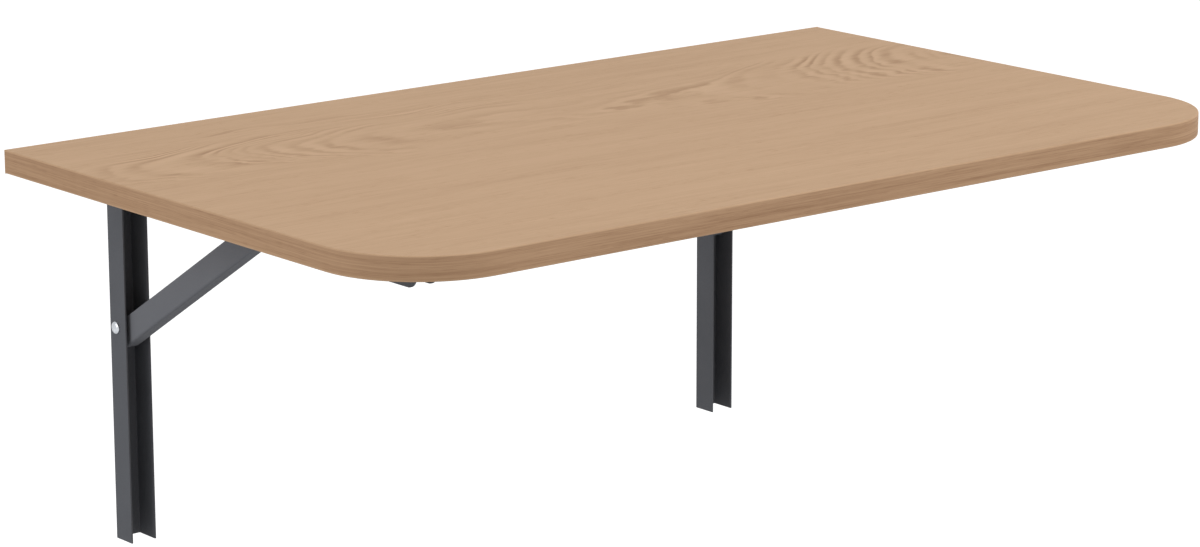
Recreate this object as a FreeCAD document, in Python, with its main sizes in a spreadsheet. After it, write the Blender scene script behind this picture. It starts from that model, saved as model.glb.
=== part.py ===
"""Wall mounted drop leaf table: a banded leaf on two folding steel brackets.

Frame, in millimetres: X runs along the wall, +Y points into the wall and +Z up.
The wall is the plane y = 0, and the origin is the middle of the four outer wall holes.
Each bracket is a wall rail, an arm hinged in the rail and a strut hinged in the arm.
The strut's forked foot stands on a catch pin across the rail.
"""
import FreeCAD, Part
import math
import os
import Sketcher

SIZES = {
    # the leaf and its edge banding
    "leaf_width": 1000.0,
    "leaf_depth": 600.0,
    "leaf_thick": 22.0,
    "leaf_corner": 100.0,
    "leaf_height": 212.0,
    "leaf_gap": 22.5,
    "band_thick": 2.0,
    "band_round": 1.2,
    # the three channels of a bracket, one inside the other
    "bracket_span": 730.0,
    "plate": 1.5,
    "bend_in": 1.0,
    "rail_width": 27.5,
    "rail_depth": 27.5,
    "rail_length": 372.0,
    "rail_drop": 4.0,
    "arm_width": 23.5,
    "arm_depth": 42.0,
    "arm_reach": 482.0,
    "arm_nose": 12.0,
    "arm_heel": 24.0,
    "arm_start": 23.5,
    "strut_width": 16.5,
    "strut_depth": 24.0,
    "strut_angle": 31.6,
    "strut_bevel": 6.5,
    # places of the three pins, out from the wall and down from the leaf
    "hinge_out": 14.0,
    "hinge_drop": 30.0,
    "hinge_dia": 8.0,
    "hinge_proud": 1.5,
    "hinge_round": 1.2,
    "pivot_drop": 24.0,
    "pivot_dia": 8.0,
    "catch_out": 11.5,
    "catch_drop": 167.0,
    "catch_dia": 5.0,
    "catch_edge": 4.5,
    # the catch rivet's domed heads, the washers and the room between moving pieces
    "head_dia": 12.0,
    "head_height": 3.0,
    "washer_dia": 16.0,
    "washer_play": 0.1,
    "running": 0.05,
    "fork_play": 0.3,
    "fork_end": 5.5,
    "notch_play": 1.0,
    "overcut": 1.0,
    # holes for the wall screws and screws up into the leaf
    "wall_hole": 6.5,
    "wall_pitch": 140.0,
    "screw_first": 60.0,
    "screw_second": 170.0,
    "screw_third": 330.0,
    "screw_last": 440.0,
    "screw_dia": 4.0,
    "screw_length": 15.0,
    "screw_tip": 4.0,
    "screw_head": 8.5,
    "screw_head_height": 2.4,
    "screw_head_round": 1.4,
    "screw_play": 0.3,
    "screw_bite": 0.2,
    "recess_length": 4.4,
    "recess_width": 1.0,
    "recess_depth": 1.3,
}
SCREW_PLACES = ("screw_first", "screw_second", "screw_third", "screw_last")
SIDES = {"left": -0.5, "right": 0.5}
SAME_LENGTH = 0.01
SAME_DIRECTION = 0.999
ROUGH_REACH = 50.0

doc = FreeCAD.newDocument("drop_leaf_table")
sheet = doc.addObject("Spreadsheet::Sheet", "Sizes")
parts = []


def fill_sheet():
    """Write the driving sizes, and the few that follow from them, as aliased cells."""
    sizes = dict(SIZES)
    angle = math.radians(sizes["strut_angle"])
    pin_offset = sizes["strut_depth"] / 2 - sizes["catch_edge"]
    drop = sizes["catch_drop"] - sizes["pivot_drop"]
    run = (drop + pin_offset * math.cos(angle)) / math.sin(angle)
    sizes["fork_offset"] = pin_offset
    sizes["strut_run"] = run
    sizes["pivot_out"] = sizes["catch_out"] + run * math.cos(angle) + pin_offset * math.sin(angle)
    # a ball whose cap has the rivet head's diameter and height
    head_half = sizes["head_dia"] / 2
    ball = (head_half**2 + sizes["head_height"] ** 2) / (2 * sizes["head_height"])
    sizes["head_ball"] = ball
    sizes["head_latitude"] = math.degrees(math.asin(1 - sizes["head_height"] / ball))
    # where the catch pin meets the arm once the arm hangs down along the rail
    sizes["notch_out"] = sizes["hinge_out"] + sizes["catch_drop"] - sizes["hinge_drop"]
    sizes["notch_drop"] = sizes["hinge_drop"] + sizes["hinge_out"] - sizes["catch_out"]
    for row, (alias, value) in enumerate(sizes.items(), start=1):
        sheet.set(f"A{row}", alias)
        sheet.set(f"B{row}", str(value))
        sheet.setAlias(f"B{row}", alias)
    doc.recompute()


def size(alias):
    """Return a sheet cell's number."""
    return float(sheet.get(alias))


def cell(text):
    """Return an expression with each known alias written as a cell of the sheet."""
    words = []
    for word in text.split():
        words.append(f"Sizes.{word}" if word in sheet_aliases else word)
    return " ".join(words)


def bind(item, sizes):
    """Bind an object's properties to expressions of the sheet."""
    for name, text in sizes.items():
        item.setExpression(name, cell(text))


def add(kind, name, sizes=None, base=(0, 0, 0), turn=None):
    """Add a primitive, bind its sizes and place it."""
    item = doc.addObject(kind, name)
    bind(item, sizes or {})
    rotation = turn or FreeCAD.Rotation()
    item.Placement = FreeCAD.Placement(FreeCAD.Vector(*base), rotation)
    return item


def combine(kind, name, pieces):
    """Add a boolean of the pieces: a fuse of them all, a compound, or a cut of the second from the first."""
    item = doc.addObject(kind, name)
    if kind == "Part::Cut":
        item.Base, item.Tool = pieces
    elif kind == "Part::Compound":
        item.Links = pieces
    else:
        item.Shapes = pieces
    doc.recompute()
    return item


def keep(item, label):
    """Name a finished sub-part and put it on the list of files to write."""
    item.Label = label
    parts.append(item)
    return item


def plane_of(body, role):
    """Return one of a body's own origin planes."""
    return next(item for item in body.Origin.OriginFeatures if item.Role == role)


def new_sketch(body, role, name):
    """Add a sketch on one of the body's origin planes."""
    sketch = body.newObject("Sketcher::SketchObject", name)
    sketch.AttachmentSupport = [(plane_of(body, role), "")]
    sketch.MapMode = "FlatFace"
    return sketch


def pin_point(sketch, geometry, point, place):
    """Hold a point of the sketch at two expressions of the sheet, or on the sketch's own origin."""
    if place == ("0", "0"):
        sketch.addConstraint(Sketcher.Constraint("Coincident", geometry, point, -1, 1))
        return
    for axis, text in zip("XY", place):
        name = f"{axis}_{geometry}_{point}"
        index = sketch.addConstraint(Sketcher.Constraint(f"Distance{axis}", -1, 1, geometry, point, 1.0))
        sketch.renameConstraint(index, name)
        sketch.setExpression(f"Constraints.{name}", cell(text))


def add_outline(sketch, corners):
    """Draw a closed outline of straight edges through corners given as pairs of expressions."""
    first = sketch.GeometryCount
    count = len(corners)
    # a rough ring of points in the right order, which the bound corners then move into place
    rough = []
    for index in range(count):
        turn = 2 * math.pi * index / count
        rough.append(FreeCAD.Vector(ROUGH_REACH * math.cos(turn), ROUGH_REACH * math.sin(turn), 0))
    for index in range(count):
        sketch.addGeometry(Part.LineSegment(rough[index], rough[(index + 1) % count]), False)
    for index in range(count):
        following = first + (index + 1) % count
        sketch.addConstraint(Sketcher.Constraint("Coincident", first + index, 2, following, 1))
    for index, place in enumerate(corners):
        pin_point(sketch, first + index, 1, place)


def add_circle(sketch, centre, diameter):
    """Draw a circle whose centre and diameter are expressions."""
    circle = Part.Circle(FreeCAD.Vector(1, 1, 0), FreeCAD.Vector(0, 0, 1), 2.0)
    index = sketch.addGeometry(circle, False)
    pin_point(sketch, index, 3, centre)
    name = f"dia_{index}"
    constraint = sketch.addConstraint(Sketcher.Constraint("Diameter", index, 4.0))
    sketch.renameConstraint(constraint, name)
    sketch.setExpression(f"Constraints.{name}", cell(diameter))


def pad(body, sketch, name, width):
    """Pad a sketch evenly to both sides."""
    feature = body.newObject("PartDesign::Pad", name)
    feature.Profile = sketch
    feature.Midplane = True
    feature.setExpression("Length", cell(width))
    doc.recompute()
    return feature


def pocket(body, sketch, name):
    """Cut a sketch right through the body, both ways, and make sure that it took material away."""
    before = body.Shape.Volume
    feature = body.newObject("PartDesign::Pocket", name)
    feature.Profile = sketch
    feature.Type = "ThroughAll"
    feature.Midplane = True
    doc.recompute()
    if not body.Shape.Volume < before:
        raise RuntimeError(f"{body.Name}: {name} cut nothing")
    return feature


def straight_edges(shape, direction, wanted):
    """Return the names of the straight edges along a direction whose middle passes a test."""
    names = []
    for number, edge in enumerate(shape.Edges, start=1):
        if not isinstance(edge.Curve, Part.Line):
            continue
        along = abs(edge.Curve.Direction.dot(FreeCAD.Vector(*direction)))
        if along > SAME_DIRECTION and wanted(edge.CenterOfMass):
            names.append(f"Edge{number}")
    return names


def fillet(body, name, radius, direction, wanted):
    """Round the chosen straight edges of a body."""
    base = body.Tip
    feature = body.newObject("PartDesign::Fillet", name)
    feature.Base = (base, straight_edges(base.Shape, direction, wanted))
    feature.setExpression("Radius", cell(radius))
    doc.recompute()
    return feature


def near(value, target):
    """Tell whether two lengths are equal for picking edges."""
    return abs(value - target) < SAME_LENGTH


def new_body(name, label):
    """Add a body to the document and to the list of sub-parts."""
    body = doc.addObject("PartDesign::Body", name)
    return keep(body, label)


def cut_circles(body, role, name, circles):
    """Drill round holes, given as centre and diameter expressions, through the body."""
    sketch = new_sketch(body, role, f"{name}_outline")
    for centre, diameter in circles:
        add_circle(sketch, centre, diameter)
    pocket(body, sketch, name)


def cut_outline(body, role, name, corners):
    """Cut a straight-edged opening through the body."""
    sketch = new_sketch(body, role, f"{name}_outline")
    add_outline(sketch, corners)
    pocket(body, sketch, name)


def pad_outline(body, name, corners, width):
    """Pad a side outline of a channel to the channel's width."""
    sketch = new_sketch(body, "YZ_Plane", f"{name}_outline")
    add_outline(sketch, corners)
    pad(body, sketch, name, width)


def inner_corners(width, low, high):
    """Return the corners of a channel's inside, seen along the channel, from two depth expressions."""
    left = f"- ( {width} / 2 - plate )"
    right = f"{width} / 2 - plate"
    return [(left, low), (right, low), (right, high), (left, high)]


def round_bends(body, direction, width, axis, web_faces):
    """Round the two bends of a channel inside and out.

    Args:
        axis: the axis across the web.
        web_faces: places of the web's outer and inner face along that axis.
    """
    half = size(width) / 2
    outer, inner = web_faces

    def outside(middle):
        return near(abs(middle.x), half) and near(getattr(middle, axis), outer)

    def inside(middle):
        return near(abs(middle.x), half - size("plate")) and near(getattr(middle, axis), inner)

    fillet(body, "outer_bend", "bend_in + plate", direction, outside)
    fillet(body, "inner_bend", "bend_in", direction, inside)


def make_rail(side, offset):
    """Make a wall rail: a channel open to the front, with holes for wall screws and two pins."""
    body = new_body(f"Rail_{side}", f"wall_rail_{side}")
    top = "leaf_height - rail_drop"
    bottom = "leaf_height - rail_drop - rail_length"
    front = "- rail_depth"
    pad_outline(body, "blank", [(front, bottom), ("0", bottom), ("0", top), (front, top)], "rail_width")
    cut_outline(body, "XY_Plane", "inside", inner_corners("rail_width", "- rail_depth - overcut", "- plate"))
    round_bends(body, (0, 0, 1), "rail_width", "y", (0.0, -size("plate")))
    pins = [
        (("- hinge_out", "leaf_height - hinge_drop"), "hinge_dia"),
        (("- catch_out", "leaf_height - catch_drop"), "catch_dia"),
    ]
    cut_circles(body, "YZ_Plane", "pin_holes", pins)
    screws = [(("0", place), "wall_hole") for place in ("- wall_pitch", "0", "wall_pitch")]
    cut_circles(body, "XZ_Plane", "wall_holes", screws)
    body.Placement.Base = FreeCAD.Vector(offset, 0, 0)


def make_arm(side, offset):
    """Make an arm: a channel open downwards, rounded about the hinge and notched for the catch pin."""
    body = new_body(f"Arm_{side}", f"arm_channel_{side}")
    low = "leaf_height - arm_depth"
    end_round = "arm_depth - hinge_drop"
    heel = f"- ( hinge_out - ( {end_round} ) )"
    corners = [
        (heel, low),
        ("- arm_reach", low),
        ("- arm_reach", "leaf_height"),
        ("- arm_start", "leaf_height"),
        (heel, "leaf_height - arm_heel"),
    ]
    pad_outline(body, "blank", corners, "arm_width")
    heel_y = size("arm_depth") - size("hinge_drop") - size("hinge_out")
    tip_y = -size("arm_reach")
    low_z = size("leaf_height") - size("arm_depth")
    fillet(body, "heel", end_round, (1, 0, 0), lambda m: near(m.y, heel_y) and near(m.z, low_z))
    fillet(body, "nose", "arm_nose", (1, 0, 0), lambda m: near(m.y, tip_y) and near(m.z, low_z))
    inside = inner_corners("arm_width", f"{low} - overcut", "leaf_height - plate")
    cut_outline(body, "XZ_Plane", "inside", inside)
    top_z = size("leaf_height")
    round_bends(body, (0, 1, 0), "arm_width", "z", (top_z, top_z - size("plate")))
    pins = [
        (("- hinge_out", "leaf_height - hinge_drop"), "hinge_dia + 2 * running"),
        (("- pivot_out", "leaf_height - pivot_drop"), "pivot_dia"),
    ]
    cut_circles(body, "YZ_Plane", "pin_holes", pins)
    half = "( catch_dia / 2 + notch_play )"
    notch_z = "leaf_height - notch_drop"
    cut_circles(body, "YZ_Plane", "notch_end", [(("- notch_out", notch_z), f"2 * {half}")])
    mouth = [
        (f"- notch_out - {half}", f"{low} - overcut"),
        (f"- notch_out + {half}", f"{low} - overcut"),
        (f"- notch_out + {half}", notch_z),
        (f"- notch_out - {half}", notch_z),
    ]
    cut_outline(body, "YZ_Plane", "notch_mouth", mouth)
    screws = [(("0", f"- {place}"), "screw_dia + 2 * screw_play") for place in SCREW_PLACES]
    cut_circles(body, "XY_Plane", "screw_holes", screws)
    body.Placement.Base = FreeCAD.Vector(offset, 0, 0)


def make_strut(side, offset):
    """Make a strut about its pivot: a channel open upwards, with a bevelled head and a forked foot."""
    body = new_body(f"Strut_{side}", f"strut_channel_{side}")
    half = "strut_depth / 2"
    foot = "strut_run + fork_end"
    corners = [
        (f"- {half}", f"strut_bevel - {half}"),
        (f"strut_bevel - {half}", f"- {half}"),
        (foot, f"- {half}"),
        (foot, half),
        (f"strut_bevel - {half}", half),
        (f"- {half}", f"{half} - strut_bevel"),
    ]
    pad_outline(body, "blank", corners, "strut_width")
    web = f"plate - {half}"
    cut_outline(body, "XZ_Plane", "inside", inner_corners("strut_width", web, f"{half} + overcut"))
    low_z = -size("strut_depth") / 2
    round_bends(body, (0, 1, 0), "strut_width", "z", (low_z, low_z + size("plate")))
    cut_circles(body, "YZ_Plane", "pivot_hole", [(("0", "0"), "pivot_dia + 2 * running")])
    play = "( catch_dia / 2 + fork_play )"
    cut_circles(body, "YZ_Plane", "fork_seat", [(("strut_run", "fork_offset"), f"2 * {play}")])
    mouth = [
        ("strut_run", f"fork_offset - {play}"),
        (f"{foot} + overcut", f"fork_offset - {play}"),
        (f"{foot} + overcut", f"fork_offset + {play}"),
        ("strut_run", f"fork_offset + {play}"),
    ]
    cut_outline(body, "YZ_Plane", "fork_mouth", mouth)
    turn = FreeCAD.Rotation(FreeCAD.Vector(1, 0, 0), -size("strut_angle"))
    base = FreeCAD.Vector(offset, -size("pivot_out"), size("leaf_height") - size("pivot_drop"))
    body.Placement = FreeCAD.Placement(base, turn)


ACROSS = FreeCAD.Rotation(FreeCAD.Vector(0, 1, 0), 90)
BACK_ACROSS = FreeCAD.Rotation(FreeCAD.Vector(0, 1, 0), -90)


def rim_edges(shape, radius, places, axis):
    """Return the numbers of the circles of a radius that lie at the given places along an axis."""
    numbers = []
    for number, edge in enumerate(shape.Edges, start=1):
        curve = edge.Curve
        if not isinstance(curve, Part.Circle) or not near(curve.Radius, radius):
            continue
        if any(near(getattr(curve.Center, axis), place) for place in places):
            numbers.append(number)
    return numbers


def round_rims(item, name, radius, numbers):
    """Round the numbered edges of a primitive or boolean."""
    rounded = doc.addObject("Part::Fillet", name)
    rounded.Base = item
    rounded.Edges = [(number, radius, radius) for number in numbers]
    doc.recompute()
    return rounded


def make_catch_rivet(side, offset):
    """Make the rivet that the strut stands on: a shank across the rail and a domed head on each flange."""
    half = size("rail_width") / 2
    place = (-size("catch_out"), size("leaf_height") - size("catch_drop"))
    centre = half + size("head_height") - size("head_ball")
    shank = {"Radius": "catch_dia / 2", "Height": "rail_width"}
    cap = {"Radius": "head_ball", "Angle1": "head_latitude"}
    pieces = [
        add("Part::Cylinder", f"Catch_{side}_shank", shank, (offset - half, *place), ACROSS),
        add("Part::Sphere", f"Catch_{side}_cap_a", cap, (offset - centre, *place), BACK_ACROSS),
        add("Part::Sphere", f"Catch_{side}_cap_b", cap, (offset + centre, *place), ACROSS),
    ]
    keep(combine("Part::MultiFuse", f"Catch_{side}", pieces), f"catch_rivet_{side}")


def make_hinge_pin(side, offset):
    """Make the arm's hinge pin, whose rounded ends stand a little proud of the rail."""
    reach = size("rail_width") / 2 + size("hinge_proud")
    place = (-size("hinge_out"), size("leaf_height") - size("hinge_drop"))
    sizes = {"Radius": "hinge_dia / 2", "Height": "rail_width + 2 * hinge_proud"}
    blank = add("Part::Cylinder", f"Hinge_{side}_blank", sizes, (offset - reach, *place), ACROSS)
    doc.recompute()
    numbers = rim_edges(blank.Shape, size("hinge_dia") / 2, (offset - reach, offset + reach), "x")
    keep(round_rims(blank, f"Hinge_{side}", size("hinge_round"), numbers), f"hinge_pin_{side}")


def make_pivot_pin(side, offset):
    """Make the strut's pivot pin, flush with the arm's two flanges so that the arm can enter the rail."""
    place = (offset - size("arm_width") / 2, -size("pivot_out"), size("leaf_height") - size("pivot_drop"))
    sizes = {"Radius": "pivot_dia / 2", "Height": "arm_width"}
    keep(add("Part::Cylinder", f"Pivot_{side}", sizes, place, ACROSS), f"strut_pivot_pin_{side}")


def make_ring(name, hole, thick, place):
    """Make one washer about an axis across the bracket."""
    disc = {"Radius": "washer_dia / 2", "Height": thick}
    bore = {"Radius": f"{hole} / 2 + running", "Height": thick}
    outer = add("Part::Cylinder", f"{name}_outer", disc, place, ACROSS)
    inner = add("Part::Cylinder", f"{name}_bore", bore, place, ACROSS)
    return combine("Part::Cut", name, [outer, inner])


def make_washers(label, hole, channels, offset, out, drop):
    """Make a pair of washers that fill the gaps between a channel and the one that moves inside it.

    Args:
        hole: alias of the pin's diameter.
        channels: aliases of the outer and the inner channel's width.
    """
    outer, inner = channels
    thick = f"{outer} / 2 - plate - {inner} / 2 - washer_play"
    reach = size(outer) / 2 - size("plate")
    depth = reach - size(inner) / 2 - size("washer_play")
    place = (-out, size("leaf_height") - drop)
    rings = [
        make_ring(f"{label}_ring_a", hole, thick, (offset - reach, *place)),
        make_ring(f"{label}_ring_b", hole, thick, (offset + reach - depth, *place)),
    ]
    keep(combine("Part::Compound", f"{label}_pair", rings), label)


def make_screw(name, offset, out):
    """Make one screw from under the arm's web up into the leaf, with a cross recess."""
    web = size("leaf_height") - size("plate")
    head_base = web - size("screw_head_height")
    spot = (offset, -out)
    disc = {"Radius": "screw_head / 2", "Height": "screw_head_height"}
    head = add("Part::Cylinder", f"{name}_head", disc, (*spot, head_base))
    doc.recompute()
    numbers = rim_edges(head.Shape, size("screw_head") / 2, (head_base,), "z")
    domed = round_rims(head, f"{name}_dome", size("screw_head_round"), numbers)
    shank = {"Radius": "screw_dia / 2", "Height": "screw_length - screw_tip"}
    tip = {"Radius1": "screw_dia / 2", "Radius2": "screw_dia / 8", "Height": "screw_tip"}
    tip_base = web + size("screw_length") - size("screw_tip")
    pieces = [
        domed,
        add("Part::Cylinder", f"{name}_shank", shank, (*spot, web)),
        add("Part::Cone", f"{name}_tip", tip, (*spot, tip_base)),
    ]
    blank = combine("Part::MultiFuse", f"{name}_blank", pieces)
    return combine("Part::Cut", name, [blank, make_recess(name, spot, head_base)])


def make_recess(name, spot, base):
    """Make the cross that is cut into a screw head."""
    long, slim = "recess_length", "recess_width"
    bars = []
    for length, width in ((long, slim), (slim, long)):
        sizes = {"Length": length, "Width": width, "Height": "recess_depth"}
        corner = (spot[0] - size(length) / 2, spot[1] - size(width) / 2, base)
        bars.append(add("Part::Box", f"{name}_bar_{length}", sizes, corner))
    return combine("Part::MultiFuse", f"{name}_cross", bars)


def make_screws(side, offset):
    """Make the row of screws that holds an arm to the leaf."""
    screws = []
    for place in SCREW_PLACES:
        screws.append(make_screw(f"{place}_{side}", offset, size(place)))
    keep(combine("Part::Compound", f"Screws_{side}", screws), f"leaf_screws_{side}")


def make_slab(name, inset, width, depth):
    """Make a slab with two rounded front corners, inset from the leaf's sides and front.

    Args:
        inset: the inset in millimetres.
        width: expression of the slab's width.
        depth: expression of the slab's depth.
    """
    sizes = {"Length": width, "Width": depth, "Height": "leaf_thick"}
    front = -(size("leaf_gap") + size("leaf_depth") - inset)
    side = size("leaf_width") / 2 - inset
    box = add("Part::Box", f"{name}_blank", sizes, (-side, front, size("leaf_height")))
    doc.recompute()
    numbers = []
    for text in straight_edges(box.Shape, (0, 0, 1), lambda m: near(m.y, front)):
        numbers.append(int(text.removeprefix("Edge")))
    return round_rims(box, name, size("leaf_corner") - inset, numbers)


def make_leaf():
    """Make the leaf: a core with pilot holes, a band round its front and sides, and a rear band."""
    width, depth = "leaf_width - 2 * band_thick", "leaf_depth - 2 * band_thick"
    band = size("band_thick")
    core = make_slab("Core_slab", band, width, depth)
    pilots = []
    for side, share in SIDES.items():
        for place in SCREW_PLACES:
            sizes = {"Radius": "screw_dia / 2 - screw_bite", "Height": "screw_length"}
            spot = (share * size("bracket_span"), -size(place), size("leaf_height"))
            pilots.append(add("Part::Cylinder", f"Pilot_{place}_{side}", sizes, spot))
    holes = combine("Part::MultiFuse", "Pilots", pilots)
    keep(combine("Part::Cut", "Core", [core, holes]), "leaf_core")
    outer = make_slab("Band_outer", 0.0, "leaf_width", "leaf_depth - band_thick")
    inner = make_slab("Band_inner", band, width, depth)
    ring = combine("Part::Cut", "Band_ring", [outer, inner])
    keep(round_rims(ring, "Band", size("band_round"), outer_rims(ring.Shape)), "edge_band_front")
    rear_sizes = {"Length": "leaf_width", "Width": "band_thick", "Height": "leaf_thick"}
    rear_corner = (-size("leaf_width") / 2, -size("leaf_gap") - band, size("leaf_height"))
    strip = add("Part::Box", "Rear_strip", rear_sizes, rear_corner)
    doc.recompute()
    rear = []
    for number, edge in enumerate(strip.Shape.Edges, start=1):
        if near(edge.CenterOfMass.y, -size("leaf_gap")):
            rear.append(number)
    keep(round_rims(strip, "Rear", size("band_round"), rear), "edge_band_rear")


def outer_rims(shape):
    """Return the numbers of the band's outer edges along its top and underside."""
    half = size("leaf_width") / 2
    front = -(size("leaf_gap") + size("leaf_depth"))
    centre_x = half - size("leaf_corner")
    centre_y = front + size("leaf_corner")
    heights = (size("leaf_height"), size("leaf_height") + size("leaf_thick"))
    numbers = []
    for number, edge in enumerate(shape.Edges, start=1):
        middle = edge.valueAt((edge.FirstParameter + edge.LastParameter) / 2)
        if not any(near(middle.z, height) for height in heights):
            continue
        if isinstance(edge.Curve, Part.Circle):
            reach = math.hypot(abs(middle.x) - centre_x, middle.y - centre_y)
            on_rim = near(reach, size("leaf_corner"))
        else:
            on_rim = near(abs(middle.x), half) or near(middle.y, front)
        if on_rim:
            numbers.append(number)
    return numbers


def make_bracket(side, offset):
    """Make one folding bracket with its pins, washers and screws."""
    make_rail(side, offset)
    make_arm(side, offset)
    make_strut(side, offset)
    make_hinge_pin(side, offset)
    make_catch_rivet(side, offset)
    make_pivot_pin(side, offset)
    hinge = (size("hinge_out"), size("hinge_drop"))
    pivot = (size("pivot_out"), size("pivot_drop"))
    make_washers(f"hinge_washers_{side}", "hinge_dia", ("rail_width", "arm_width"), offset, *hinge)
    make_washers(f"strut_spacers_{side}", "pivot_dia", ("arm_width", "strut_width"), offset, *pivot)
    make_screws(side, offset)


def check_and_write():
    """Stop on any failed object, then write each sub-part to its own file."""
    doc.recompute()
    for item in doc.Objects:
        if "Invalid" in item.State or "Error" in item.State:
            raise RuntimeError(f"{item.Name} failed: {item.State}")
    for item in parts:
        if item.Shape.isNull() or not item.Shape.isValid():
            raise RuntimeError(f"{item.Label} has no valid shape")
    os.makedirs("parts", exist_ok=True)
    for item in parts:
        item.Shape.exportStep(f"parts/{item.Label}.step")
        box = item.Shape.BoundBox
        print(f"{item.Label}: {len(item.Shape.Solids)} solids, {item.Shape.Volume:.0f} mm3, "
              f"{box.XLength:.1f} x {box.YLength:.1f} x {box.ZLength:.1f}")


fill_sheet()
sheet_aliases = {sheet.getAlias(address) for address in sheet.getUsedCells() if sheet.getAlias(address)}
make_leaf()
for side_name, share_of_span in SIDES.items():
    make_bracket(side_name, share_of_span * size("bracket_span"))
check_and_write()
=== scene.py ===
"""Dresses the wall mounted drop leaf table.

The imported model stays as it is. This script gives the leaf its oak laminate, the rails, arms and
struts their powder coat, and the small hardware its zinc and nylon. It makes the two catch rivets
with domed heads, and sets up the floor, the studio light and the photograph's camera.
"""

from __future__ import annotations

import logging
import math
from dataclasses import dataclass, field
from enum import Enum
from typing import Any, Optional, Sequence, Union

import bmesh
import bpy
from mathutils import Matrix, Vector

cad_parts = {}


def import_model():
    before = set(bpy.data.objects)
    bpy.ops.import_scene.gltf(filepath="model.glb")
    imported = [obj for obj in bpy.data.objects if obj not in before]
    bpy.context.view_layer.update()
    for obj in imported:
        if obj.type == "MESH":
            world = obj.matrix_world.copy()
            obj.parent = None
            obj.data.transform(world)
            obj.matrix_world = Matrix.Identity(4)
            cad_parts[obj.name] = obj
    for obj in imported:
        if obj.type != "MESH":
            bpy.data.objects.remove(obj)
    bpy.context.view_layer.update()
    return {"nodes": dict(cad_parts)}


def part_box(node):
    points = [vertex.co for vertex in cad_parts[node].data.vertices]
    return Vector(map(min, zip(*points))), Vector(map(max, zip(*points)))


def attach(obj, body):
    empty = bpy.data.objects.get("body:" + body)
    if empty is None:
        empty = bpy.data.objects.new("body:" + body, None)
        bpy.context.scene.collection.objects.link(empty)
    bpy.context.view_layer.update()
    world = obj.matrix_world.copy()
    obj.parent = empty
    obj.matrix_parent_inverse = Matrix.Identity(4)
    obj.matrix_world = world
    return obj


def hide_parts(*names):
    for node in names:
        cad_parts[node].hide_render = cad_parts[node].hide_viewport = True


LOG = logging.getLogger("drop_leaf_table")

Colour = tuple[float, float, float]
Stops = Sequence[tuple[float, Colour]]
Span = tuple[float, float]

# Middle of noise, of a ramp and of a relief. Patterns lie around 0 and are added to it.
MIDDLE = 0.5
WHITE: Colour = (1.0, 1.0, 1.0)


def srgb(red: int, green: int, blue: int) -> Colour:
    """Turns a colour as it is seen into the linear one that a shader takes.

    Args:
        red: Red, 0 to 255.
        green: Green, 0 to 255.
        blue: Blue, 0 to 255.

    Returns:
        The three linear parts.
    """

    def linear(level: int) -> float:
        """Undoes the screen curve for one part, by the numbers of the sRGB standard."""
        part = level / 255
        return part / 12.92 if part <= 0.04045 else ((part + 0.055) / 1.055) ** 2.4

    return linear(red), linear(green), linear(blue)


class Signal:
    """One changing value of a material, on which sums are written as plain expressions."""

    def __init__(self, graph: Graph, socket: bpy.types.NodeSocket) -> None:
        """Keeps the node graph and the socket that the value comes from."""
        self.graph = graph
        self.socket = socket

    def __add__(self, other: Value) -> Signal:
        """Adds a value."""
        return self.graph.sum("ADD", self, other)

    def __radd__(self, other: Value) -> Signal:
        """Adds this to a number."""
        return self.graph.sum("ADD", other, self)

    def __sub__(self, other: Value) -> Signal:
        """Takes a value away."""
        return self.graph.sum("SUBTRACT", self, other)

    def __rsub__(self, other: Value) -> Signal:
        """Takes this away from a number."""
        return self.graph.sum("SUBTRACT", other, self)

    def __mul__(self, other: Value) -> Signal:
        """Multiplies by a value."""
        return self.graph.sum("MULTIPLY", self, other)

    def __rmul__(self, other: Value) -> Signal:
        """Multiplies a number by this."""
        return self.graph.sum("MULTIPLY", other, self)

    def __abs__(self) -> Signal:
        """Drops the sign."""
        return self.graph.sum("ABSOLUTE", self)

    def fraction(self) -> Signal:
        """Keeps what is after the decimal point, which repeats from 0 to 1."""
        return self.graph.sum("FRACT", self)

    def below(self, limit: Value) -> Signal:
        """Gives 1 under a limit and 0 over it."""
        return self.graph.sum("LESS_THAN", self, limit)

    def either(self, other: Value) -> Signal:
        """Gives the larger of two values."""
        return self.graph.sum("MAXIMUM", self, other)

    def at_least(self, least: float) -> Signal:
        """Squeezes 0 to 1 into a least value to 1."""
        return self * (1.0 - least) + least

    def ease(self, span: Span) -> Signal:
        """Goes smoothly from 0 at the start of a span to 1 at its end.

        Args:
            span: Start and end of the change.

        Returns:
            The eased value.
        """
        start, end = span
        eased = self.graph.node(
            "ShaderNodeMapRange",
            {"interpolation_type": "SMOOTHSTEP"},
            {"Value": self, "From Min": start, "From Max": end},
        )
        return self.graph.signal(eased, "Result")

    def between(self, rise: Span, fall: Span) -> Signal:
        """Goes smoothly up to 1 and down again.

        Args:
            rise: Span in which the result leaves 0 and reaches 1.
            fall: Later span in which it goes back to 0.

        Returns:
            The eased value.
        """
        return self.ease(rise) * (1 - self.ease(fall))


Value = Union[Signal, float, int]
Place = tuple[Signal, Signal, Signal]


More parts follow.
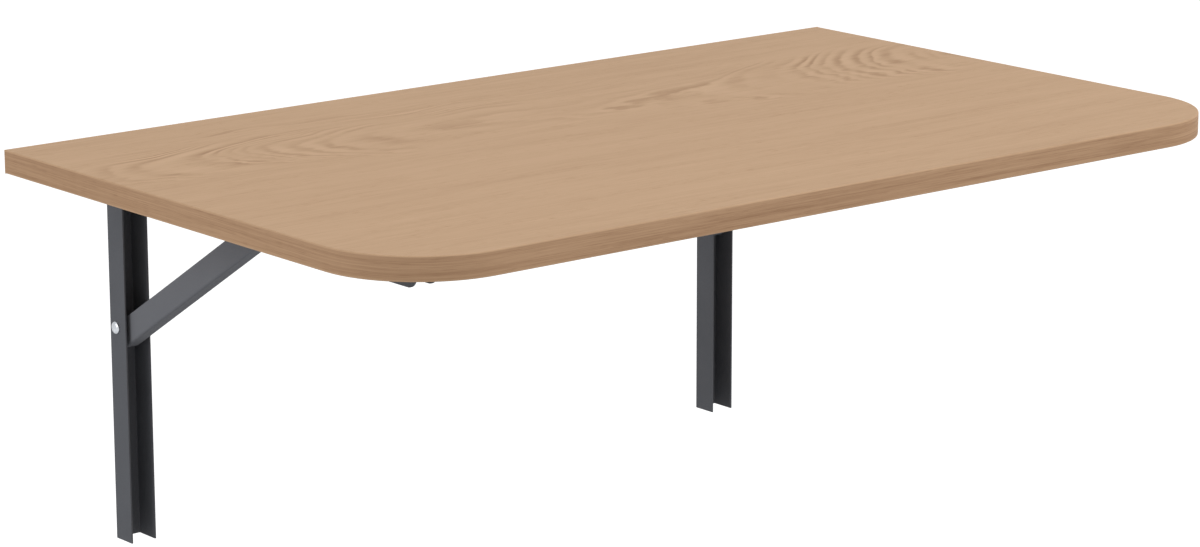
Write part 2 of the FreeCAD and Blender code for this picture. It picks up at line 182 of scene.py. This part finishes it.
class Graph:
    """Adds and joins the nodes of one material or of the world."""

    def __init__(self, tree: bpy.types.NodeTree) -> None:
        """Starts from an empty node tree."""
        self.tree = tree
        self.tree.nodes.clear()

    def node(
        self,
        kind: str,
        settings: Optional[dict[str, Any]] = None,
        inputs: Optional[dict[Union[str, int], Any]] = None,
    ) -> bpy.types.Node:
        """Adds one node.

        Args:
            kind: The node's type.
            settings: Its own settings, such as an operation or a ramp's stops.
            inputs: Values or links for its sockets, by name or number.

        Returns:
            The new node.
        """
        made = self.tree.nodes.new(kind)
        for name, setting in (settings or {}).items():
            if name == "stops":
                self.set_stops(made.color_ramp, setting)
            else:
                setattr(made, name, setting)
        for name, given in (inputs or {}).items():
            if isinstance(given, Signal):
                self.tree.links.new(given.socket, made.inputs[name])
            else:
                made.inputs[name].default_value = given
        return made

    @staticmethod
    def set_stops(ramp: bpy.types.ColorRamp, stops: Stops) -> None:
        """Gives a colour ramp its stops.

        Args:
            ramp: The ramp, with the two stops that it starts with.
            stops: Place and colour of each stop, in order.
        """
        while len(ramp.elements) < len(stops):
            ramp.elements.new(1.0)
        for element, (place, colour) in zip(ramp.elements, stops):
            element.position = place
            element.color = (*colour, 1.0)

    def signal(self, node: bpy.types.Node, output: Union[str, int] = 0) -> Signal:
        """Wraps one output of a node."""
        return Signal(self, node.outputs[output])

    def sum(self, operation: str, *values: Value) -> Signal:
        """Adds one Math node.

        Args:
            operation: The Math node's operation.
            values: Its inputs, in order.

        Returns:
            The result.
        """
        made = self.node("ShaderNodeMath", {"operation": operation}, dict(enumerate(values)))
        return self.signal(made)

    def place(self) -> Place:
        """Gives the three Object coordinates, in metres."""
        coordinates = self.signal(self.node("ShaderNodeTexCoord"), "Object")
        parts = self.node("ShaderNodeSeparateXYZ", inputs={0: coordinates})
        return self.signal(parts, "X"), self.signal(parts, "Y"), self.signal(parts, "Z")

    def noise(self, first: Value, second: Value, third: Value, detail: float) -> Signal:
        """Samples soft noise around 0, so that it can be added to another value.

        Args:
            first: First coordinate, in noise cells.
            second: Second coordinate.
            third: Third coordinate.
            detail: Layers of finer noise.

        Returns:
            A value mostly between -0.25 and 0.25.
        """
        point = self.node("ShaderNodeCombineXYZ", inputs={0: first, 1: second, 2: third})
        cells = {"Vector": self.signal(point), "Scale": 1.0, "Detail": detail}
        return self.signal(self.node("ShaderNodeTexNoise", inputs=cells)) - MIDDLE

    def ramp(self, factor: Value, stops: Stops) -> Signal:
        """Turns a value into a colour along a ramp.

        Args:
            factor: The value, 0 to 1.
            stops: Place and colour of each stop.

        Returns:
            The colour.
        """
        return self.signal(self.node("ShaderNodeValToRGB", {"stops": stops}, {0: factor}), "Color")

    def blend(self, factor: Signal, first: Signal, second: Signal) -> Signal:
        """Mixes two colours.

        Args:
            factor: 0 for the first, 1 for the second.
            first: A colour.
            second: Another colour.

        Returns:
            The mixed colour.
        """
        made = self.node(
            "ShaderNodeMix", {"data_type": "RGBA"}, {"Factor": factor, 6: first, 7: second}
        )
        return self.signal(made, 2)

    def relief(self, height: Value, depth: float) -> Signal:
        """Turns a height into a surface normal.

        Args:
            height: The height, 0 to 1.
            depth: Depth in metres of a height of 1.

        Returns:
            The normal.
        """
        made = self.node("ShaderNodeBump", inputs={"Distance": depth, "Height": height})
        return self.signal(made, "Normal")

    def shade(self, sockets: dict[str, Any]) -> None:
        """Ends a material in one Principled surface.

        Args:
            sockets: Values and links of the surface's sockets.
        """
        surface = self.node("ShaderNodeBsdfPrincipled", inputs=sockets)
        self.node("ShaderNodeOutputMaterial", inputs={"Surface": self.signal(surface)})


def new_graph(name: str) -> tuple[bpy.types.Material, Graph]:
    """Makes an empty material.

    Args:
        name: The material's name.

    Returns:
        The material and its graph.
    """
    material = bpy.data.materials.new(name)
    material.use_nodes = True
    return material, Graph(material.node_tree)


@dataclass(frozen=True)
class SheetNoise:
    """Noise over a broad face of the board, in cells per metre along and across the grain.

    Noises with different layers don't follow each other.
    """

    along: float
    across: float
    layer: float = 0.0
    detail: float = 2.0

    def sample(self, graph: Graph, along: Signal, across: Signal) -> Signal:
        """Reads the noise at a place on the face."""
        return graph.noise(along * self.along, across * self.across, self.layer, self.detail)


@dataclass(frozen=True)
class RingNoise:
    """Noise that goes from growth ring to growth ring, in cells per ring."""

    per_ring: float
    layer: float
    row: float = 0.5

    def sample(self, graph: Graph, turns: Signal) -> Signal:
        """Reads the noise at a ring's number."""
        return graph.noise(turns * self.per_ring, self.row, self.layer, 0.0)


@dataclass(frozen=True)
class SolidNoise:
    """Noise through a solid piece, in cells per metre along its three axes."""

    x: float
    y: float
    z: float
    detail: float = 2.0

    @classmethod
    def even(cls, cells: float, detail: float = 2.0) -> SolidNoise:
        """Makes noise with cells of one length along all axes."""
        return cls(cells, cells, cells, detail)

    def sample(self, graph: Graph, place: Place) -> Signal:
        """Reads the noise at a place in the piece."""
        x, y, z = place
        return graph.noise(x * self.x, y * self.y, z * self.z, self.detail)


@dataclass(frozen=True)
class OakTones:
    """The ramp from early wood to late wood, as linear colours."""

    pale: Colour
    middle: Colour
    deep: Colour

    def stops(self) -> Stops:
        """Lists the three tones as stops of a ramp."""
        return [(0.0, self.pale), (MIDDLE, self.middle), (1.0, self.deep)]


@dataclass(frozen=True)
class RingStep:
    """A stretch along the grain, in metres, in which the saw passes through a number of rings."""

    stretch: Span
    rings: float


@dataclass(frozen=True)
class OakFlame:
    """The growth rings of a board cut near the heart, as nested arches along its rear half.

    Lengths are in metres, in the leaf's own coordinates. The grain runs along X. An arch falls
    back, in rings, by its curve times the square of the distance from the heart.
    """

    first_ring: float = -0.5
    steps: tuple[RingStep, ...] = (
        RingStep((-0.56, -0.1), 12.0),
        RingStep((-0.2, 0.32), 2.0),
        RingStep((0.17, 0.6), 13.0),
    )
    heart: float = -0.174
    slant: Span = (-0.5, 0.35)
    slant_width: float = 0.058
    sway: SheetNoise = SheetNoise(5.0, 9.0, detail=1.0)
    sway_width: float = 0.1
    sway_rings: float = 1.2
    ruffle: SheetNoise = SheetNoise(26.0, 60.0, layer=2.0)
    ruffle_width: float = 0.014
    ruffle_rings: float = 1.1
    front_curve: float = 430.0
    left_curve: float = 1400.0
    right_curve: float = 420.0
    rightward: Span = (-0.1, 0.3)
    spacing: RingNoise = RingNoise(0.45, layer=9.0)
    spacing_rings: float = 2.4
    line_rise: Span = (0.1, 0.72)
    line_fall: Span = (0.72, 1.0)
    line_mean: float = 0.36
    fade: Span = (0.0455, 0.13)
    front_fade: float = 0.35
    right_front_fade: float = 0.9
    boldness: RingNoise = RingNoise(0.8, layer=8.0)
    bold_range: Span = (-0.22, 0.2)
    least_bold: float = 0.25
    patches: SheetNoise = SheetNoise(9.0, 22.0, layer=4.0)
    patch_range: Span = (-0.14, 0.16)
    least_patch: float = 0.15
    calm_rise: Span = (-0.2, 0.05)
    calm_fall: Span = (0.22, 0.36)
    calm_loss: float = 0.42
    left_end: Span = (-0.5, -0.4)
    left_loss: float = 0.75
    right_end: Span = (0.36, 0.5)
    right_loss: float = 0.5

    def strength(self, graph: Graph, along: Signal, across: Signal, turns: Signal) -> Signal:
        """Says how clearly the rings show: unevenly, and less in the middle and at both ends.

        Args:
            graph: The material's graph.
            along: Place along the grain.
            across: Place across the grain.
            turns: Number of the ring.

        Returns:
            The strength, 0 to 1.
        """
        patches = self.patches.sample(graph, along, across).ease(self.patch_range)
        bold = self.boldness.sample(graph, turns).ease(self.bold_range)
        calm = along.between(self.calm_rise, self.calm_fall) * self.calm_loss
        left_end = (1 - along.ease(self.left_end)) * self.left_loss
        right_end = along.ease(self.right_end) * self.right_loss
        shown = 1 - calm - (left_end + right_end)
        return patches.at_least(self.least_patch) * bold.at_least(self.least_bold) * shown

    def draw(self, graph: Graph, along: Signal, across: Signal) -> Signal:
        """Draws the rings.

        Args:
            graph: The material's graph.
            along: Place along the grain.
            across: Place across the grain.

        Returns:
            Dark ring lines around 0, strongest near the heart.
        """
        sway = self.sway.sample(graph, along, across)
        ruffle = self.ruffle.sample(graph, along, across)
        rightward = along.ease(self.rightward)
        slant = along.ease(self.slant) * self.slant_width
        aside = across - self.heart + slant + sway * self.sway_width
        bent = aside + ruffle * self.ruffle_width
        front = bent.below(0.0)
        rear_curve = self.left_curve + rightward * (self.right_curve - self.left_curve)
        curve = front * self.front_curve + (1 - front) * rear_curve
        waves = ruffle * self.ruffle_rings + sway * self.sway_rings
        turns = self.first_ring + waves - bent * bent * curve
        for step in self.steps:
            turns = turns + along.ease(step.stretch) * step.rings
        turns = turns + self.spacing.sample(graph, turns) * self.spacing_rings
        line = turns.fraction().between(self.line_rise, self.line_fall) - self.line_mean
        front_fade = self.front_fade + rightward * self.right_front_fade
        near_heart = 1 - (abs(aside) * (1 + front * front_fade)).ease(self.fade)
        return line * near_heart * self.strength(graph, along, across, turns)


@dataclass(frozen=True)
class OakGrain:
    """Straight grain beside the flame, with the short dark pores of oak. Widths are in metres."""

    wander: SheetNoise = SheetNoise(3.0, 5.0, layer=7.0)
    wander_width: float = 0.02
    broad: SheetNoise = SheetNoise(2.6, 34.0, layer=1.0)
    broad_depth: float = 0.3
    narrow: SheetNoise = SheetNoise(6.5, 190.0, layer=2.0)
    narrow_depth: float = 0.3
    fibre: SheetNoise = SheetNoise(24.0, 800.0, layer=3.0, detail=1.0)
    fibre_depth: float = 0.35
    dashes: SheetNoise = SheetNoise(70.0, 1700.0, layer=5.0, detail=0.0)
    dash_range: Span = (0.13, 0.23)
    patches: SheetNoise = SheetNoise(9.0, 60.0, layer=6.0)
    patch_range: Span = (-0.12, 0.16)

    def streaks(self, graph: Graph, along: Signal, across: Signal) -> Signal:
        """Draws broad soft bands, narrow lines and fine fibre.

        Args:
            graph: The material's graph.
            along: Place along the grain.
            across: Place across the grain.

        Returns:
            The grain around 0.
        """
        wandering = across + self.wander.sample(graph, along, across) * self.wander_width
        broad = self.broad.sample(graph, along, wandering) * self.broad_depth
        narrow = self.narrow.sample(graph, along, wandering) * self.narrow_depth
        fibre = self.fibre.sample(graph, along, wandering) * self.fibre_depth
        return broad + narrow + fibre

    def pores(self, graph: Graph, along: Signal, across: Signal) -> Signal:
        """Draws the pores, which are a few millimetres long and stand in patches.

        Args:
            graph: The material's graph.
            along: Place along the grain.
            across: Place across the grain.

        Returns:
            1 in a pore and 0 beside it.
        """
        dashes = self.dashes.sample(graph, along, across).ease(self.dash_range)
        patches = self.patches.sample(graph, along, across).ease(self.patch_range)
        return dashes * patches


@dataclass(frozen=True)
class OakBand:
    """The grain of the edge banding, in lines along the edge."""

    layers: SolidNoise = SolidNoise(4.0, 4.0, 330.0)
    layer_depth: float = 0.95
    threads: SolidNoise = SolidNoise(17.0, 17.0, 1500.0, detail=1.0)
    thread_depth: float = 0.8
    flecks: SolidNoise = SolidNoise(60.0, 60.0, 2600.0, detail=0.0)
    fleck_range: Span = (0.12, 0.24)
    fleck_depth: float = 0.25
    fleck_relief: float = 0.4

    def draw(self, graph: Graph, place: Place) -> tuple[Signal, Signal]:
        """Draws the banding.

        Args:
            graph: The material's graph.
            place: The place on the edge.

        Returns:
            The tone along a ramp, and the height.
        """
        layers = self.layers.sample(graph, place) * self.layer_depth
        threads = self.threads.sample(graph, place) * self.thread_depth
        flecks = self.flecks.sample(graph, place).ease(self.fleck_range)
        tone = MIDDLE + layers + threads + flecks * self.fleck_depth
        return tone, MIDDLE + threads - flecks * self.fleck_relief


@dataclass(frozen=True)
class OakLaminate:
    """Oak effect laminate on the broad faces of the leaf, and its banding on the narrow ones.

    Lengths are in metres. The rises and the fall are heights over the middle of the board, and
    the rim is the line where face and banding meet, along which the banding carries a painted
    highlight.
    """

    name: str
    face_tones: OakTones = OakTones(srgb(210, 176, 142), srgb(195, 161, 128), srgb(168, 133, 101))
    # The banding's tones are darker than the face's: painted shade of the narrow faces, which get
    # less light.
    shaded_edge_tones: OakTones = OakTones(srgb(196, 160, 127), srgb(180, 144, 112), srgb(154, 118, 88))
    flame: OakFlame = OakFlame()
    grain: OakGrain = OakGrain()
    band: OakBand = OakBand()
    mid_height: float = 0.223
    rim_rise: Span = (0.0094, 0.0099)
    face_rise: Span = (0.0099, 0.0107)
    rim_fall: Span = (0.0107, 0.01096)
    painted_rim_highlight: float = 0.55
    back_shift: float = 0.31
    flame_depth: float = 0.95
    pore_tone: float = 0.22
    figure_relief: float = 0.4
    pore_relief: float = 0.6
    relief_depth: float = 0.00006
    roughness: float = 0.66
    figure_rough: float = 0.08
    pore_rough: float = 0.12
    specular: float = 0.22

    def build(self) -> bpy.types.Material:
        """Makes the material.

        Returns:
            Oak, with another stretch of the same figure on the underside.
        """
        material, graph = new_graph(self.name)
        place = graph.place()
        x, y, z = place
        from_middle = z - self.mid_height
        height = abs(from_middle)
        on_face = height.ease(self.face_rise)
        highlight_rim = height.between(self.rim_rise, self.rim_fall)
        sheet = y + from_middle.below(0.0) * self.back_shift
        pores = self.grain.pores(graph, x, sheet)
        flame = self.flame.draw(graph, x, sheet) * self.flame_depth
        figure = flame + self.grain.streaks(graph, x, sheet)
        face_tone = MIDDLE + figure + pores * self.pore_tone
        face_relief = MIDDLE + figure * self.figure_relief - pores * self.pore_relief
        band_tone, band_relief = self.band.draw(graph, place)
        face_colour = graph.ramp(face_tone, self.face_tones.stops())
        # The banding is painted paler along the rim: a painted highlight on the arris.
        edge_colour = graph.ramp(band_tone - highlight_rim * self.painted_rim_highlight, self.shaded_edge_tones.stops())
        relief = face_relief * on_face + band_relief * (1 - on_face)
        graph.shade(
            {
                "Base Color": graph.blend(on_face, edge_colour, face_colour),
                "Roughness": self.roughness + figure * self.figure_rough + pores * self.pore_rough,
                "Specular IOR Level": self.specular,
                "Normal": graph.relief(relief, self.relief_depth),
            }
        )
        return material


@dataclass(frozen=True)
class Mottle:
    """One noise of a finish, and how far it changes the tone, the roughness and the height."""

    noise: SolidNoise
    tone: float = 0.0
    rough: float = 0.0
    height: float = 0.0


def weighted(start: float, noises: Sequence[Signal], weights: Sequence[float]) -> Value:
    """Adds noises to a start, each by its weight, and passes over those without one.

    Args:
        start: The value before anything is added.
        noises: The noises.
        weights: Their weights, in the same order.

    Returns:
        The sum.
    """
    total: Value = start
    for noise, weight in zip(noises, weights):
        if weight:
            total = total + noise * weight
    return total


@dataclass(frozen=True)
class MottledFinish:
    """A finish that goes between two tones, and whose gloss and height follow the same noises."""

    name: str
    first: Colour
    last: Colour
    mottles: tuple[Mottle, ...]
    roughness: float
    relief_depth: float
    start: float = MIDDLE
    metallic: float = 0.0
    specular: float = 0.5

    def build(self) -> bpy.types.Material:
        """Makes the material.

        Returns:
            The finish, with uneven tone and gloss and a fine texture.
        """
        material, graph = new_graph(self.name)
        place = graph.place()
        noises = [mottle.noise.sample(graph, place) for mottle in self.mottles]
        tone = weighted(self.start, noises, [mottle.tone for mottle in self.mottles])
        rough = weighted(self.roughness, noises, [mottle.rough for mottle in self.mottles])
        height = weighted(MIDDLE, noises, [mottle.height for mottle in self.mottles])
        graph.shade(
            {
                "Base Color": graph.ramp(tone, [(0.0, self.first), (1.0, self.last)]),
                "Metallic": self.metallic,
                "Roughness": rough,
                "Specular IOR Level": self.specular,
                "Normal": graph.relief(height, self.relief_depth),
            }
        )
        return material


@dataclass(frozen=True)
class PowderCoat(MottledFinish):
    """Anthracite powder coat, dark and nearly matt, with fine orange peel and faint clouding."""

    first: Colour = srgb(90, 92, 97)
    last: Colour = srgb(102, 104, 109)
    mottles: tuple[Mottle, ...] = (
        Mottle(SolidNoise.even(16.0), tone=1.2, rough=0.15),
        Mottle(SolidNoise.even(700.0), tone=0.5, rough=0.2, height=1.0),
        Mottle(SolidNoise.even(2100.0, detail=0.0), tone=0.5, height=0.3),
    )
    roughness: float = 0.76
    relief_depth: float = 0.00012
    specular: float = 0.17


@dataclass(frozen=True)
class ZincPlate(MottledFinish):
    """Bright zinc on pressed steel, with faint drawing marks and clouding."""

    first: Colour = srgb(205, 208, 212)
    last: Colour = srgb(168, 172, 178)
    mottles: tuple[Mottle, ...] = (
        Mottle(SolidNoise.even(260.0), tone=1.4, rough=0.3),
        Mottle(SolidNoise(400.0, 3200.0, 3200.0, detail=1.0), tone=0.5, rough=0.12, height=1.0),
    )
    roughness: float = 0.3
    relief_depth: float = 0.00002
    start: float = 0.45
    metallic: float = 1.0


@dataclass(frozen=True)
class NaturalNylon(MottledFinish):
    """Off white, waxy nylon of the washers and spacers, with a fine moulded texture."""

    first: Colour = srgb(226, 222, 210)
    last: Colour = srgb(205, 200, 186)
    mottles: tuple[Mottle, ...] = (
        Mottle(SolidNoise.even(180.0), tone=1.5, rough=0.2),
        Mottle(SolidNoise.even(2600.0, detail=1.0), rough=0.15, height=1.0),
    )
    roughness: float = 0.48
    relief_depth: float = 0.00003


class Finish(Enum):
    """The finishes, by the names of their materials."""

    LAMINATE = "oak laminate"
    BAND = "oak edge band"
    COAT = "anthracite powder coat"
    # The strut's coat is the same anthracite painted lighter: painted light on the strut.
    PAINTED_LIGHT_STRUT_COAT = "powder coat with painted light"
    ZINC = "bright zinc"
    NYLON = "natural nylon"


class Side(Enum):
    """The two brackets, as seen from the front."""

    LEFT = "left"
    RIGHT = "right"


Palette = dict[Finish, bpy.types.Material]
Nodes = dict[str, bpy.types.Object]


def make_palette() -> Palette:
    """Builds each finish once.

    Returns:
        The material of each finish.
    """
    # The strut's tones are the coat's tones painted lighter: painted light, the same paint as the
    # rails.
    painted_light_strut_tones = srgb(108, 110, 116), srgb(119, 121, 126)
    return {
        Finish.LAMINATE: OakLaminate(Finish.LAMINATE.value).build(),
        Finish.BAND: OakLaminate(Finish.BAND.value).build(),
        Finish.COAT: PowderCoat(Finish.COAT.value).build(),
        Finish.PAINTED_LIGHT_STRUT_COAT: PowderCoat(Finish.PAINTED_LIGHT_STRUT_COAT.value, *painted_light_strut_tones).build(),
        Finish.ZINC: ZincPlate(Finish.ZINC.value).build(),
        Finish.NYLON: NaturalNylon(Finish.NYLON.value).build(),
    }


def dress(node: bpy.types.Object, material: bpy.types.Material) -> None:
    """Puts a material in every slot of a carried over node.

    Args:
        node: The node's object.
        material: Its finish.
    """
    for slot in node.material_slots:
        slot.material = material
    LOG.info("%s wears %s", node.name, material.name)


@dataclass
class Leaf:
    """The board and its banding."""

    nodes: Nodes
    palette: Palette
    finishes: dict[str, Finish] = field(
        default_factory=lambda: {
            "leaf_core": Finish.LAMINATE,
            "edge_band_front": Finish.BAND,
            "edge_band_rear": Finish.BAND,
        }
    )

    def build(self) -> None:
        """Dresses the three nodes of the leaf."""
        for name, finish in self.finishes.items():
            dress(self.nodes[name], self.palette[finish])


@dataclass
class DomedRivet:
    """A rivet across a rail, with a domed head on each side.

    Lengths are in metres. The slot, the one that the record gives to zinc plated steel, is not
    used.
    """

    node: str
    body: str
    shank_radius: float
    slot: str = "zinc_steel"
    head_height: float = 0.003
    rim_height: float = 0.0006
    facets: int = 48
    rings: int = 32
    cut_tolerance: float = 1e-7
    sharp_angle: float = math.radians(40)

    def head(self, mesh: bmesh.types.BMesh, seat: Vector, radius: float, outward: float) -> None:
        """Adds one head: half a flattened ball on a short rim.

        Args:
            mesh: The rivet's mesh.
            seat: Middle of the face that the head lies on.
            radius: The head's radius.
            outward: 1 for a head that looks along X, and -1 for one that looks back.
        """
        ball = bmesh.ops.create_uvsphere(
            mesh, u_segments=self.facets, v_segments=self.rings, radius=radius
        )
        verts = ball["verts"]
        dome_height = self.head_height - self.rim_height
        centre = seat + Vector((outward * self.rim_height, 0.0, 0.0))
        flatten = Matrix.Diagonal((1.0, 1.0, dome_height / radius)).to_4x4()
        turn = Matrix.Rotation(outward * math.pi / 2, 4, "Y")
        bmesh.ops.transform(mesh, matrix=Matrix.Translation(centre) @ turn @ flatten, verts=verts)
        geometry = verts + list({e for v in verts for e in v.link_edges})
        geometry += list({f for v in verts for f in v.link_faces})
        cut = bmesh.ops.bisect_plane(
            mesh,
            geom=geometry,
            plane_co=centre,
            plane_no=(outward, 0.0, 0.0),
            dist=self.cut_tolerance,
            clear_inner=True,
        )
        rim = [g for g in cut["geom_cut"] if isinstance(g, bmesh.types.BMEdge)]
        skirt = bmesh.ops.extrude_edge_only(mesh, edges=rim)["geom"]
        lower = [g for g in skirt if isinstance(g, bmesh.types.BMVert)]
        bmesh.ops.translate(mesh, vec=seat - centre, verts=lower)
        base = [g for g in skirt if isinstance(g, bmesh.types.BMEdge) and g.is_boundary]
        bmesh.ops.holes_fill(mesh, edges=base)

    def shank(self, mesh: bmesh.types.BMesh, low: Vector, high: Vector) -> None:
        """Adds the pin between the heads.

        Args:
            mesh: The rivet's mesh.
            low: One end of the pin's axis.
            high: The other end.
        """
        across = Matrix.Translation((low + high) / 2) @ Matrix.Rotation(math.pi / 2, 4, "Y")
        bmesh.ops.create_cone(
            mesh,
            cap_ends=True,
            segments=self.facets,
            radius1=self.shank_radius,
            radius2=self.shank_radius,
            depth=(high - low).length,
            matrix=across,
        )

    def build(self, palette: Palette) -> None:
        """Makes the rivet where its node is.

        Args:
            palette: The finishes.
        """
        low, high = (Vector(corner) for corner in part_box(self.node))
        middle = (low + high) / 2
        radius = (high.y - low.y) / 2
        left = Vector((low.x + self.head_height, middle.y, middle.z))
        right = Vector((high.x - self.head_height, middle.y, middle.z))
        mesh = bmesh.new()
        self.head(mesh, left, radius, -1.0)
        self.head(mesh, right, radius, 1.0)
        self.shank(mesh, left, right)
        bmesh.ops.recalc_face_normals(mesh, faces=mesh.faces)
        for face in mesh.faces:
            face.smooth = True
        data = bpy.data.meshes.new(f"domed_{self.node}")
        mesh.to_mesh(data)
        mesh.free()
        data.set_sharp_from_angle(angle=self.sharp_angle)
        data.materials.append(palette[Finish.ZINC])
        rivet = bpy.data.objects.new(f"domed_{self.node}", data)
        bpy.context.scene.collection.objects.link(rivet)
        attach(rivet, self.body)
        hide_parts(self.node)
        LOG.info("%s made with %d faces", rivet.name, len(data.polygons))


@dataclass
class Bracket:
    """One folding bracket: wall rail, arm, strut and the hardware that joins them."""

    side: Side
    nodes: Nodes
    palette: Palette
    rail_body: str = "wall_mount"
    catch_radius: float = 0.0025
    finishes: dict[str, Finish] = field(
        default_factory=lambda: {
            "wall_rail": Finish.COAT,
            "arm_channel": Finish.COAT,
            # The strut wears the coat with painted light.
            "strut_channel": Finish.PAINTED_LIGHT_STRUT_COAT,
            "hinge_pin": Finish.ZINC,
            "strut_pivot_pin": Finish.ZINC,
            "leaf_screws": Finish.ZINC,
            "hinge_washers": Finish.NYLON,
            "strut_spacers": Finish.NYLON,
        }
    )

    def build(self) -> None:
        """Dresses the bracket's nodes and makes its rivet."""
        for stem, finish in self.finishes.items():
            dress(self.nodes[f"{stem}_{self.side.value}"], self.palette[finish])
        catch = DomedRivet(f"catch_rivet_{self.side.value}", self.rail_body, self.catch_radius)
        catch.build(self.palette)


@dataclass(frozen=True)
class SoftLamp:
    """A large square lamp that looks at the table."""

    name: str
    stand: Vector
    width: float
    watts: float
    aim: Vector = Vector((0.0, -0.3, 0.1))

    def build(self) -> None:
        """Hangs the lamp."""
        light = bpy.data.lights.new(self.name, "AREA")
        light.shape = "SQUARE"
        light.size = self.width
        light.energy = self.watts
        lamp = bpy.data.objects.new(self.name, light)
        lamp.location = self.stand
        lamp.rotation_mode = "QUATERNION"
        lamp.rotation_quaternion = (self.aim - self.stand).to_track_quat("-Z", "Y")
        bpy.context.scene.collection.objects.link(lamp)


@dataclass
class Studio:
    """The pale floor, the lamps and the white surround."""

    floor_height: float = -0.516
    floor_half: float = 30.0
    floor_tone: Colour = (0.5, 0.5, 0.5)
    floor_roughness: float = 0.8
    floor_specular: float = 0.1
    floor_lift: float = 0.78
    ambient: float = 0.5
    lamps: tuple[SoftLamp, ...] = (
        SoftLamp("key", Vector((-4.1, 0.2, 1.6)), 2.4, 58.0),
        SoftLamp("fill", Vector((2.0, -3.6, 3.4)), 3.0, 130.0),
    )

    @staticmethod
    def seen(graph: Graph) -> Signal:
        """Gives 1 to what the camera sees, also by way of metal, and 0 to what only gives light.

        Args:
            graph: The graph of the floor or the surround.

        Returns:
            The mask.
        """
        path = graph.node("ShaderNodeLightPath")
        glossy = graph.signal(path, "Is Glossy Ray")
        mirrored = glossy.either(graph.signal(path, "Is Transmission Ray"))
        return mirrored.either(graph.signal(path, "Is Camera Ray"))

    def floor_finish(self) -> bpy.types.Material:
        """Makes a pale floor that is clear to look up through.

        Returns:
            The material.
        """
        material, graph = new_graph("pale floor")
        pale = graph.node(
            "ShaderNodeBsdfPrincipled",
            inputs={
                "Base Color": (*self.floor_tone, 1.0),
                "Roughness": self.floor_roughness,
                "Specular IOR Level": self.floor_specular,
                "Emission Color": self.seen(graph),
                "Emission Strength": self.floor_lift,
            },
        )
        clear = graph.node("ShaderNodeBsdfTransparent")
        from_below = graph.signal(graph.node("ShaderNodeNewGeometry"), "Backfacing")
        one_way = graph.node(
            "ShaderNodeMixShader",
            inputs={0: from_below, 1: graph.signal(pale), 2: graph.signal(clear)},
        )
        graph.node("ShaderNodeOutputMaterial", inputs={"Surface": graph.signal(one_way)})
        return material

    def floor(self) -> None:
        """Lays the floor a table's height below the leaf."""
        mesh = bmesh.new()
        lay = Matrix.Translation((0.0, 0.0, self.floor_height))
        bmesh.ops.create_grid(mesh, x_segments=1, y_segments=1, size=self.floor_half, matrix=lay)
        data = bpy.data.meshes.new("floor")
        mesh.to_mesh(data)
        mesh.free()
        data.materials.append(self.floor_finish())
        floor = bpy.data.objects.new("floor", data)
        bpy.context.scene.collection.objects.link(floor)

    def surround(self) -> None:
        """Makes the surround white to look at and dimmer as a light."""
        world = bpy.data.worlds.new("studio")
        world.use_nodes = True
        graph = Graph(world.node_tree)
        strength = self.seen(graph).at_least(self.ambient)
        sky = graph.node(
            "ShaderNodeBackground", inputs={"Color": (*WHITE, 1.0), "Strength": strength}
        )
        graph.node("ShaderNodeOutputWorld", inputs={"Surface": graph.signal(sky)})
        bpy.context.scene.world = world

    def build(self) -> None:
        """Sets up the whole studio."""
        self.floor()
        self.surround()
        for lamp in self.lamps:
            lamp.build()
        bpy.context.scene.view_settings.view_transform = "Standard"


@dataclass(frozen=True)
class PhotoCamera:
    """The photograph's camera, fitted to the straight edges of the leaf and the rails.

    Lengths are in metres, but the sensor's width is in millimetres.
    """

    stand: Vector = Vector((-2.35221, -3.13447, 0.98114))
    turn: float = math.radians(-39.373)
    dip: float = math.radians(13.564)
    roll: float = math.radians(-0.084)
    focal_pixels: float = 4018.45
    image_width: int = 1200
    sensor: float = 36.0
    sight: float = 200.0

    def build(self) -> None:
        """Places the camera and makes it the scene's own."""
        forward = Vector(
            (
                -math.sin(self.turn) * math.cos(self.dip),
                math.cos(self.turn) * math.cos(self.dip),
                -math.sin(self.dip),
            )
        )
        level = Vector((math.cos(self.turn), math.sin(self.turn), 0.0))
        upright = level.cross(forward)
        right = level * math.cos(self.roll) + upright * math.sin(self.roll)
        up = right.cross(forward)
        data = bpy.data.cameras.new("photo_camera")
        data.sensor_fit = "HORIZONTAL"
        data.sensor_width = self.sensor
        data.lens = self.focal_pixels * self.sensor / self.image_width
        data.clip_end = self.sight
        camera = bpy.data.objects.new("photo_camera", data)
        axes = Matrix((right, up, -forward)).transposed().to_4x4()
        camera.matrix_world = Matrix.Translation(self.stand) @ axes
        bpy.context.scene.collection.objects.link(camera)
        bpy.context.scene.camera = camera


def main() -> None:
    """Builds the classes in order."""
    logging.basicConfig(level=logging.INFO, format="%(message)s")
    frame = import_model()
    palette = make_palette()
    Leaf(frame["nodes"], palette).build()
    for side in Side:
        Bracket(side, frame["nodes"], palette).build()
    Studio().build()
    PhotoCamera().build()
    bpy.context.view_layer.update()


if __name__ == "__main__":
    main()
